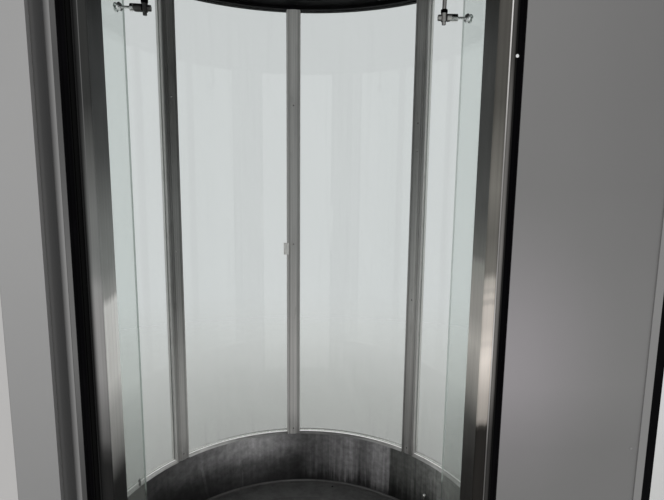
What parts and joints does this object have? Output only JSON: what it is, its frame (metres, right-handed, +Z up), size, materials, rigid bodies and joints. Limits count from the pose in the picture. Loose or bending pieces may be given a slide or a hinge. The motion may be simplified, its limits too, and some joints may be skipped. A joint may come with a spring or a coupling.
{
  "type": "round glass door drum with curved revolving leaves",
  "caption": "Round glass entrance drum on a steel kerb, with a black head ring, a flat wall casing and curved leaves that turn about the drum's axis to close the doorway.",
  "frame": {"origin": "on the drum's vertical axis, at the underside of its base plate, at floor level", "axes": "+Z up, the doorway faces -Y, the far wall of the drum faces +Y, +X to the right when looking in through the doorway"},
  "size_m": [1.6658, 1.666, 2.68],
  "materials": {
    "base_plate": "matt",
    "floor_rubber": "matt",
    "floor_steel": "worn",
    "aluminium_trim": "satin",
    "kerb_steel": "stained",
    "black_paint": "satin",
    "canopy_sheet": "satin",
    "jamb_steel": "brushed",
    "black_rubber": "matt",
    "casing_paint": "satin",
    "side_panel_paint": "satin",
    "trim_paint": "satin",
    "grey_plastic": "matt",
    "leaf_glass": "clear",
    "fitting_chrome": "polished",
    "mullion_aluminium": "satin",
    "pane_glass": "clear"
  },
  "bodies": {
    "drum": {"base_plate": "base_plate", "floor_disc": "floor_rubber", "floor_track": "floor_steel", "floor_border": "floor_steel", "threshold": "aluminium_trim", "kerb_foot_moulding": "aluminium_trim", "kerb_back": "kerb_steel", "kerb_left": "kerb_steel", "kerb_right": "kerb_steel", "glazing_beads": "aluminium_trim", "head_ring": "black_paint", "ceiling_disc": "black_paint", "ceiling_border": "black_paint", "ceiling_track": "black_paint", "canopy_fascia": "canopy_sheet", "canopy_top": "canopy_sheet", "jamb_left": "jamb_steel", "jamb_right": "jamb_steel", "jamb_post_left": "jamb_steel", "jamb_post_right": "jamb_steel", "jamb_seals": "black_rubber", "head_cheeks": "jamb_steel", "casing_panel_left": "casing_paint", "casing_side_panel_left": "side_panel_paint", "casing_panel_right": "casing_paint", "casing_trim_left": "trim_paint", "casing_edge_strips": "casing_paint", "casing_gaskets": "black_rubber", "sensor_box": "grey_plastic", "leaf_stop": "black_rubber", "mullion_back": "mullion_aluminium", "mullion_back_left": "mullion_aluminium", "mullion_back_right": "mullion_aluminium", "mullion_side_left": "mullion_aluminium", "mullion_side_right": "mullion_aluminium", "mullion_front_left": "mullion_aluminium", "mullion_front_right": "mullion_aluminium", "pane_back_left": "pane_glass", "pane_back_right": "pane_glass", "pane_side_left": "pane_glass", "pane_side_right": "pane_glass", "pane_front_left": "pane_glass", "pane_front_right": "pane_glass"},
    "left_leaf": {"leaf_glass_left": "leaf_glass", "leaf_hangers_left": "fitting_chrome", "leaf_guides_left": "fitting_chrome"},
    "right_leaf": {"leaf_glass_right": "leaf_glass", "leaf_hangers_right": "fitting_chrome", "leaf_guides_right": "fitting_chrome"}
  },
  "joints": [
    {"name": "left_leaf_turn", "type": "hinge", "parent": "drum", "child": "left_leaf", "pos_m": [0, 0, 1.2], "axis": [0, 0, 1], "range_deg": [0, 71.1]},
    {"name": "right_leaf_turn", "type": "hinge", "parent": "drum", "child": "right_leaf", "pos_m": [0, 0, 1.2], "axis": [0, 0, -1], "range_deg": [0, 71.1]}
  ]
}
